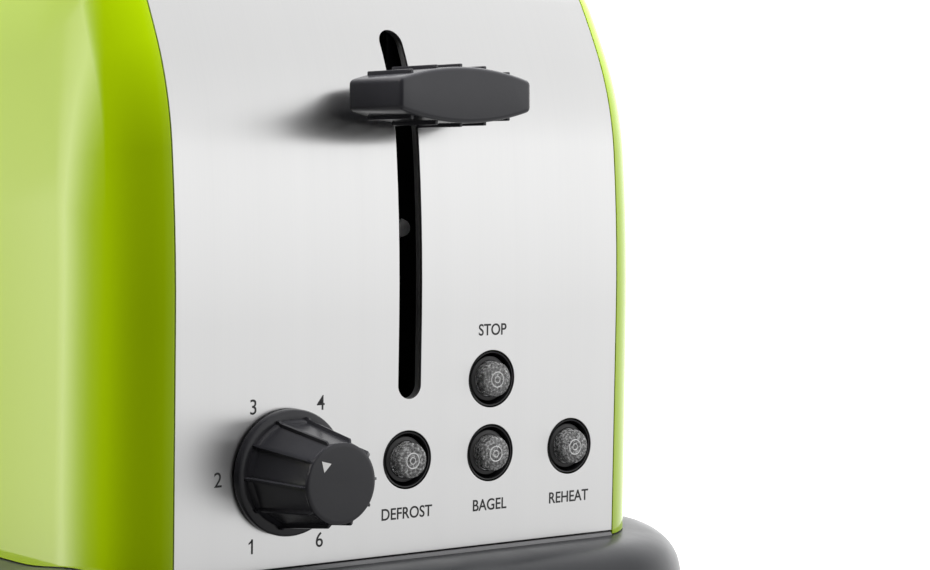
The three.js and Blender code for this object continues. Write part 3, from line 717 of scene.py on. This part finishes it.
def plinth_rows(inset):
    """The flared profile from its lower edge to its inner lip, moved inwards."""
    waist, crest, lift, square = PLINTH["waist"], PLINTH["crest"], PLINTH["lift"], PLINTH["square"]
    rows = [foot_loop(FLARE - PLINTH["tuck"] - inset, PLINTH_LOW.z)]
    for i in range(FLARE_STEPS + 1):
        a = math.pi / 2 * (i / FLARE_STEPS) ** FLARE_EASE
        spread_out = (FLARE - inset) * max(math.cos(a), 0) ** square
        height = waist + (crest - inset - waist) * math.sin(a) ** square
        rows.append(foot_loop(spread_out, height, lift * math.sin(a) ** LIFT_EASE))
    rows.append(foot_loop(-PLINTH["shelf_start"], crest - inset, lift))
    rows.append(foot_loop(-PLINTH["shelf_end"], crest - inset))
    return rows


def plinth():
    rows = plinth_rows(0) + plinth_rows(PLINTH["wall"])[::-1]
    ring = skin(rows, caps=False, ring=True)
    piece = make("moulded_plinth", ring, PLINTH_GREY, "housing", ["plinth"])
    edge = FRONT - LIP["proud"]
    groove_low = (-PANEL_EDGE, edge - LIP["groove"], LIP["groove_foot"])
    groove = tool(block(groove_low, (PANEL_EDGE, edge, PLINTH["crest"] + SHORT_REACH)))
    carve(piece, tray_way_tool(), gland_seat_tool(), groove)
    panel_lip(edge)


def tray_way_tool():
    """The way through the plinth's rear wall for the crumb tray."""
    low, high = box("crumb_tray_pull")
    gap = Vector((TRAY_GAP, 0, TRAY_GAP))
    reach = Vector((0, TOOL_REACH, 0))
    return tool(block(low - gap - reach, high + gap + reach))


def gland_seat_tool():
    """The bore and the seat for the cord gland, in the plinth's rear wall."""
    gland = middle("cord_gland")
    seat_y = box("cord_gland")[1].y - GLAND["flange_depth"]
    bore, flange, step = GLAND["bore"], GLAND["flange"], GLAND["step"]
    seat = turned([(0, -LONG_REACH), (bore, -LONG_REACH), (bore, step), (flange, step),
                   (flange, TOOL_REACH), (0, TOOL_REACH)])
    place = Matrix.Translation((gland.x, seat_y, gland.z)) @ Matrix.Rotation(-math.pi / 2, 4, "X")
    return tool(seat, place)


def panel_lip(edge):
    """The sloped lip below the control end's panel, lighter than the plinth to paint in its highlight."""
    top = PANEL_FOOT - LIP["panel_gap"]
    foot, rear = LIP["groove_foot"], FRONT + LIP["depth"]
    slope, rise = LIP["slope"], LIP["rise"]
    section = [(edge, foot), (edge, top - rise), (edge + slope, top), (rear, top), (rear, foot)]
    lip = skin([[Vector((x, y, z)) for y, z in section] for x in (-PANEL_EDGE, PANEL_EDGE)])
    soften(make("panel_lip", lip, LIP_PAINTED_HIGHLIGHT, "housing"), 0.2, segments=3)


# ---- lever ----

KNOB_LOW, KNOB_HIGH = box("lever_knob")
KNOB_HEIGHT = (KNOB_LOW.z + KNOB_HIGH.z) / 2
KNOB = {"half_height": 7.05, "end_half_height": 3.85, "round": 1.15, "rib_pitch": 7.6,
        "rib_width": 1.0, "rib_rise": 1.2, "rib_front": 2.65, "rib_rear": 1.5, "rib_sink": 0.3,
        "rib_depth": 2}


def knob_half_height(x):
    drop = KNOB["half_height"] - KNOB["end_half_height"]
    return KNOB["half_height"] - drop * (x / KNOB_HIGH.x) ** 2


def lever_knob():
    steps = 20
    upper = [KNOB_HIGH.x * (1 - 2 * i / steps) for i in range(steps + 1)]
    outline = [(x, knob_half_height(x)) for x in upper]
    outline += [(-x, -height) for x, height in outline]
    front, rear = KNOB_LOW.y, KNOB_HIGH.y
    body = skin([[Vector((x, y, KNOB_HEIGHT + z)) for x, z in outline] for y in (front, rear)])
    knob = make("lever_knob_grip", body, KNOB_GREY, "carriage", ["lever_knob"])
    soften(knob, KNOB["round"], segments=4, angle=25)
    ribs = []
    for i in (-2, -1, 0, 1, 2):
        x = i * KNOB["rib_pitch"]
        half = KNOB["rib_width"] / 2
        top = knob_half_height(x) + KNOB["rib_rise"] - KNOB["rib_sink"]
        for side in (-1, 1):
            inner, outer = sorted((side * (top - KNOB["rib_depth"]), side * top))
            low = (x - half, front + KNOB["rib_front"], KNOB_HEIGHT + inner)
            high = (x + half, rear - KNOB["rib_rear"], KNOB_HEIGHT + outer)
            ribs.append(block(low, high))
    soften(make("lever_knob_ribs", merge(*ribs), KNOB_GREY, "carriage"), 0.25)


# ---- dial ----

DIAL_RIBS = 10
DIAL_FIRST_RIB = math.radians(2)
RIB_HALF_ANGLE = math.radians(2.4)
POINTER = {"side": 2.9, "centre": 6.7, "height": 24.5, "root": 0.1, "turn": math.radians(135)}
# The grip's section: (radius, height over the panel, how far ribs stand out, how far hollows sink).
DIAL_LEVELS = (
    (15.6, 0.4, 0, 0), (16.0, 0.8, 0, 0), (16.0, 2.2, 0, 0), (15.75, 2.75, 0, 0), (15.2, 3.0, 0, 0),
    (13.9, 3.1, 0, 0), (13.7, 3.1, 0.7, 0.2), (13.4, 4.2, 0.9, 0.35), (12.95, 4.7, 0.9, 0.45),
    (10.35, 23.2, 0.9, 0.35), (10.3, 23.6, 0.6, 0.3), (10.2, 23.9, 0, 0.1), (10.0, 24.25, 0, 0),
    (9.6, 24.45, 0, 0), (9.0, 24.5, 0, 0), (3.0, 24.5, 0, 0), (0, 24.5, 0, 0),
)
# How far printed ink stands over its surface.
INK = 0.04


def dial_radius(angle, base, rib, hollow):
    """The grip's radius at an angle: thin ribs with shallow hollows between them."""
    pitch = 2 * math.pi / DIAL_RIBS
    away = abs((angle - DIAL_FIRST_RIB + pitch / 2) % pitch - pitch / 2)
    if away <= RIB_HALF_ANGLE:
        return base + rib
    if away <= RIB_HALF_ANGLE * 1.25:
        return base
    share = (away - RIB_HALF_ANGLE) / (pitch - 2 * RIB_HALF_ANGLE)
    return base - hollow * math.sin(math.pi * share)


def dial_angles():
    pitch = 2 * math.pi / DIAL_RIBS
    near = [-1.25, -1, -0.5, 0, 0.5, 1, 1.25]
    valley = [0.16, 0.25, 0.375, 0.5, 0.625, 0.75, 0.84]
    for i in range(DIAL_RIBS):
        start = DIAL_FIRST_RIB + i * pitch
        yield from (start + RIB_HALF_ANGLE * k for k in near)
        yield from (start + pitch * k for k in valley)


def dial_knob():
    angles = list(dial_angles())
    loops = [
        [
            Vector((r * math.cos(a), r * math.sin(a), height))
            for a in angles
            for r in (dial_radius(a, base, rib, hollow) if rib or hollow else base,)
        ]
        for base, height, rib, hollow in DIAL_LEVELS
    ]
    code = skin(loops, caps=False)
    bmesh.ops.remove_doubles(code, verts=code.verts, dist=1e-4)
    place = PANEL @ Matrix.Translation((DIAL.x, DIAL.y, 0))
    make("dial_grip", code, DIAL_GREY, "dial", ["dial_knob"], matrix=place)
    pointer(place)


def pointer(place):
    """A white triangle on the dial's face that points outwards."""
    side, centre, height = POINTER["side"], POINTER["centre"], POINTER["height"]
    reach = side / math.sqrt(3)
    turns = (0, 2 * math.pi / 3, 4 * math.pi / 3)
    corners = [Vector((centre + reach * math.cos(a), reach * math.sin(a))) for a in turns]
    code = drawn_up(corners, height - POINTER["root"], height + INK)
    turned_place = place @ Matrix.Rotation(POINTER["turn"], 4, "Z")
    make("dial_pointer", code, WHITE_INK, "dial", matrix=turned_place)


# ---- buttons ----

# Profiles of (radius, height over the panel) pairs.
BEZEL = ((6.35, -7), (7.4, -7), (7.4, -0.35), (7.2, -0.1), (6.95, -0.15), (6.4, -1.6), (6.35, -7))
CAP_SLEEVE = ((4.75, -7), (6.05, -7), (6.05, -1.6), (5.9, -1.2), (5.0, -0.9), (4.75, -1.1),
              (4.75, -7))
LENS = ((0, -0.6), (4.6, -0.6), (4.65, 0.2), (4.6, 1.9), (4.4, 2.3), (3.9, 2.5), (2.0, 2.52),
        (0, 2.52))
REFLECTOR_STEPS = ((0, -0.8), (1.2, -0.8), (1.4, -1.1), (2.6, -1.1), (2.8, -0.75), (3.2, -0.75),
                   (3.4, -1.1), (4.7, -1.1), (4.7, -3), (0, -3))
# The rings inside a lens, real in shape, in near-white that paints in their reflections: (name, radius, half
# width).
LENS_RINGS = (("outer", 2.0, 0.22), ("inner", 0.85, 0.18))
RING_FOOT = 2.45
RING_TOP = 2.58


def button(name):
    centre = on_panel(middle(f"bezel_{name}"))
    place = PANEL @ Matrix.Translation((centre.x, centre.y, 0))
    body = f"{name}_button"
    make(f"button_bezel_{name}", turned(BEZEL), BLACK, "housing",
         [f"bezel_{name}"], matrix=place)
    make(f"button_sleeve_{name}", turned(CAP_SLEEVE), SLEEVE, body, matrix=place)
    make(f"button_lens_{name}", turned(LENS), CLEAR, body, [f"button_{name}"],
         matrix=place)
    for ring_name, radius, half in LENS_RINGS:
        ring = turned([(radius - half, RING_FOOT), (radius - half / 2, RING_TOP),
                       (radius + half / 2, RING_TOP), (radius + half, RING_FOOT),
                       (radius - half, RING_FOOT)])
        make(f"button_{ring_name}_ring_{name}", ring, RING, body, matrix=place)
    make(f"button_reflector_{name}", turned(REFLECTOR_STEPS), REFLECTOR, body,
         matrix=place)


# ---- printing on the control end ----

# How far over each button's middle its name is printed.
LABEL_RISE = {"stop": 13.0, "defrost": -14.0, "bagel": -14.0, "reheat": -14.0}
LABEL_SIZE = 4.3
LABEL_WIDTH = 0.91
LABEL_WEIGHT = 0.055
NUMBER_RADIUS = 20.15
NUMBER_ANGLES = (240, 180, 120, 60, 0, -60)
NUMBER_CENTRE = (0.1, -0.8)
NUMBER_SIZE = 5.4
NUMBER_WIDTH = 0.92
NUMBER_WEIGHT = 0.02
NUMBER_FLAG = ((-0.15, 1.86), (0.15, 1.86), (0.05, 1.35), (-1.0, 0.75), (-1.0, 1.15))


def printed(name, words, x, up, size, narrow, weight):
    """Flat printing on the panel, centred on a point."""
    curve = bpy.data.curves.new(name, "FONT")
    curve.body = words
    curve.size = size * MM
    curve.align_x = "CENTER"
    curve.align_y = "CENTER"
    curve.extrude = INK / 2 * MM
    curve.offset = weight * MM
    spare = bpy.data.objects.new(name, curve)
    bpy.context.scene.collection.objects.link(spare)
    evaluated = spare.evaluated_get(bpy.context.evaluated_depsgraph_get())
    mesh = bpy.data.meshes.new_from_object(evaluated)
    bpy.data.objects.remove(spare)
    place = PANEL @ Matrix.Translation((x, up, INK / 2))
    place = Matrix.Scale(MM, 4) @ place @ Matrix.Scale(1 / MM, 4)
    mesh.transform(place @ Matrix.Diagonal((narrow, 1, 1, 1)))
    mesh.materials.clear()
    mesh.materials.append(PRINT)
    piece = bpy.data.objects.new(name, mesh)
    bpy.context.scene.collection.objects.link(piece)
    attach(piece, "housing")


def number_flag(x, up):
    """The short stroke at the top left of the number 1."""
    outline = [Vector(corner) for corner in NUMBER_FLAG]
    place = PANEL @ Matrix.Translation((x, up, 0))
    code = drawn_up(outline, 0, INK)
    make("number_1_flag", code, PRINT, "housing", matrix=place)


def printing():
    for name, rise in LABEL_RISE.items():
        centre = on_panel(middle(f"bezel_{name}"))
        up = centre.y + rise
        printed(f"label_{name}", name.upper(), centre.x, up, LABEL_SIZE, LABEL_WIDTH, LABEL_WEIGHT)
    for i, angle in enumerate(NUMBER_ANGLES):
        a = math.radians(angle)
        x = DIAL.x + NUMBER_CENTRE[0] + NUMBER_RADIUS * math.cos(a)
        up = DIAL.y + NUMBER_CENTRE[1] + NUMBER_RADIUS * math.sin(a)
        printed(f"number_{i + 1}", str(i + 1), x, up, NUMBER_SIZE, NUMBER_WIDTH, NUMBER_WEIGHT)
        if i == 0:
            number_flag(x, up)


# ---- carried-over CAD nodes ----

# The material for each slot of the CAD nodes that keep their shape.
FINISHES = {
    "plinth_grey": PLINTH_GREY, "zinc_steel": ZINC, "black_plastic": BLACK, "rubber": RUBBER,
    "mica": MICA, "heater_ribbon": RIBBON, "copper_coil": COPPER, "circuit_board": BOARD,
    "knob_grey": KNOB_GREY, "green_paint": GREEN, "brushed_steel": ZINC, "clear_cap": CLEAR,
}


def dress_nodes():
    slots = {entry["node"]: entry["material_slot"] for entry in frame["record"]["subparts"]}
    for name, node in frame["nodes"].items():
        node.data.materials.clear()
        node.data.materials.append(SCREW if name == "slot_guide_screw" else FINISHES[slots[name]])


# ---- studio ----

VIEW = {"azimuth": -37.39, "elevation": 2.5, "distance": 647.8, "lens": 95.0, "x": 18.94,
        "above_foot": 69.52}


def camera():
    data = bpy.data.cameras.new("camera")
    data.lens = VIEW["lens"]
    data.clip_start = 0.01
    data.clip_end = 50
    eye = bpy.data.objects.new("camera", data)
    bpy.context.scene.collection.objects.link(eye)
    a, e = math.radians(VIEW["azimuth"]), math.radians(VIEW["elevation"])
    back = Vector((math.sin(a) * math.cos(e), -math.cos(a) * math.cos(e), math.sin(e)))
    target = Vector((VIEW["x"], FRONT, PANEL_FOOT + VIEW["above_foot"]))
    eye.location = (target + back * VIEW["distance"]) * MM
    eye.rotation_mode = "QUATERNION"
    eye.rotation_quaternion = (-back).to_track_quat("-Z", "Y")
    bpy.context.scene.camera = eye


def softbox(name, bearing, distance, height, side, radiance):
    """A square light at a bearing from the control end's own direction, aimed at the toaster."""
    data = bpy.data.lights.new(name, "AREA")
    data.shape = "RECTANGLE"
    data.size = side
    data.size_y = side
    data.energy = radiance * math.pi * side * side
    light = bpy.data.objects.new(name, data)
    bpy.context.scene.collection.objects.link(light)
    a = math.radians(bearing)
    light.location = Vector((distance * math.sin(a), -distance * math.cos(a), height))
    aim = Vector((0, 0, AIM_HEIGHT)) - light.location
    light.rotation_mode = "QUATERNION"
    light.rotation_quaternion = aim.to_track_quat("-Z", "Y")
    light.visible_camera = False
    light.visible_glossy = False


# What the studio's walls look like to the toaster: (bearing from the control end, colour).
WALLS = (
    (-180, (1.3, 1.25, 1.2)), (-158, (1.5, 1.4, 1.3)), (-153.4, (1.85, 1.7, 1.6)),
    (-152.4, (2.4, 2.2, 2.1)), (-149, (3.6, 3.4, 3.2)), (-143.5, (1.2, 1.2, 1.1)),
    (-140, (0.25, 0.25, 0.25)), (-136, (0, 0, 0)), (-20, (0, 0, 0)), (-6, (0.2, 0.2, 0.2)),
    (8, (1.05, 1.05, 1.05)), (28, (1.24, 1.24, 1.24)), (60, (1.34, 1.34, 1.34)),
    (95, (2.2, 2.2, 2.2)), (135, (2.2, 2.2, 2.2)), (160, (1.3, 1.3, 1.3)),
)
BRIGHTEST = 4.0
# How bright the walls are at a height, as (sine of the elevation, share).
HEIGHTS = (
    (-1.0, 0.25), (-0.35, 0.25), (-0.16, 0.86), (-0.08, 0.93), (0.0, 1.0), (0.14, 1.10),
    (0.34, 0.93), (0.7, 0.82), (1.0, 0.82),
)
# Over the left wall the bright corner leans forward: degrees of bearing for each unit of height,
# fading out over this span of the turn.
LEAN_FORWARD = 80.0
LEAN_SPAN = (0.22, 0.40)
# Light that comes back up from the floor, as (sine of the elevation, brightness).
BOUNCE = ((-1.0, 0.3), (-0.35, 0.3), (-0.22, 0.0))
# How much of the walls' light reaches matt surfaces.
DIFFUSE_SHARE = 0.9
BACKDROP = 1.05
# Soft lights: (name, bearing, distance, height, side, radiance), in metres.
SOFTBOXES = (("overhead", 0, 0.1, 1.6, 1.4, 8.4), ("side", -126, 1.5, 1.0, 1.0, 5.6))
AIM_HEIGHT = 0.1
FLOOR_RADIUS = 900


def number(tree, operation, *values):
    node = tree.nodes.new("ShaderNodeMath")
    node.operation = operation
    for socket, value in zip(node.inputs, values):
        if isinstance(value, (int, float)):
            socket.default_value = value
        else:
            tree.links.new(value, socket)
    return node.outputs[0]


def vector(tree, operation, *values):
    node = tree.nodes.new("ShaderNodeVectorMath")
    node.operation = operation
    for socket, value in zip(node.inputs, values):
        tree.links.new(value, socket)
    return node.outputs[0]


def ramp(tree, value, stops, colour_of):
    node = tree.nodes.new("ShaderNodeValToRGB")
    elements = node.color_ramp.elements
    while len(elements) < len(stops):
        elements.new(0.5)
    for element, (position, stop) in zip(elements, stops):
        element.position = position
        element.color = (*colour_of(stop), 1)
    tree.links.new(value, node.inputs["Fac"])
    return node.outputs["Color"]


def by_height(stops):
    """Stops given by the sine of the elevation, moved to a ramp's range."""
    return [(sine / 2 + 0.5, value) for sine, value in stops]


def walls(tree):
    """The walls' colour in a direction: a ramp round the room, times a ramp up the room."""
    direction = tree.nodes.new("ShaderNodeSeparateXYZ")
    tree.links.new(tree.nodes.new("ShaderNodeTexCoord").outputs["Generated"], direction.inputs[0])
    x, y, z = direction.outputs
    bearing = number(tree, "ARCTAN2", x, number(tree, "MULTIPLY", y, -1.0))
    turn = number(tree, "MULTIPLY_ADD", bearing, 0.5 / math.pi, 0.5)
    above = number(tree, "MAXIMUM", z, 0.0)
    lean = spread(tree, turn, LEAN_FORWARD / 360, 0.0, *LEAN_SPAN)
    leaning = number(tree, "MULTIPLY", lean, above)
    colour_stops = [(angle / 360 + 0.5, colour) for angle, colour in WALLS]
    around = ramp(tree, number(tree, "SUBTRACT", turn, leaning), colour_stops,
                  lambda colour: [part / BRIGHTEST for part in colour])
    height = number(tree, "MULTIPLY_ADD", z, 0.5, 0.5)
    share = ramp(tree, height, by_height(HEIGHTS), lambda share: (share,) * 3)
    bounce = ramp(tree, height, by_height(BOUNCE), lambda glow: (glow / BRIGHTEST,) * 3)
    return vector(tree, "ADD", vector(tree, "MULTIPLY", around, share), bounce)


def studio():
    """Walls for light and reflections, a white backdrop for the camera, and soft lights."""
    world = bpy.data.worlds.new("studio")
    world.use_nodes = True
    tree = world.node_tree
    room = tree.nodes["Background"]
    tree.links.new(walls(tree), room.inputs["Color"])
    light_path = tree.nodes.new("ShaderNodeLightPath").outputs
    diffuse = light_path["Is Diffuse Ray"]
    brightness = spread(tree, diffuse, BRIGHTEST, BRIGHTEST * DIFFUSE_SHARE, 0.0, 1.0)
    tree.links.new(brightness, room.inputs["Strength"])
    backdrop = tree.nodes.new("ShaderNodeBackground")
    backdrop.inputs["Color"].default_value = (1, 1, 1, 1)
    backdrop.inputs["Strength"].default_value = BACKDROP
    either = tree.nodes.new("ShaderNodeMixShader")
    tree.links.new(light_path["Is Camera Ray"], either.inputs[0])
    tree.links.new(room.outputs[0], either.inputs[1])
    tree.links.new(backdrop.outputs[0], either.inputs[2])
    tree.links.new(either.outputs[0], tree.nodes["World Output"].inputs["Surface"])
    bpy.context.scene.world = world
    bpy.context.scene.view_settings.view_transform = "Standard"
    for light in SOFTBOXES:
        softbox(*light)


def floor():
    white = moulded("studio_floor", (0.86, 0.86, 0.86), (0.90, 0.90, 0.90), (0.6, 0.7), grain=40.0,
                    depth=0.0)
    slab = make("floor", turned([(0, 0), (FLOOR_RADIUS, 0)], 96), white, None)
    slab.visible_glossy = False
    slab.visible_diffuse = False


dress_nodes()
front_panel()
rear_panel()
roof()
cheek(-1)
cheek(1)
plinth()
lever_knob()
dial_knob()
for button_name in BUTTONS:
    button(button_name)
printing()
camera()
studio()
floor()
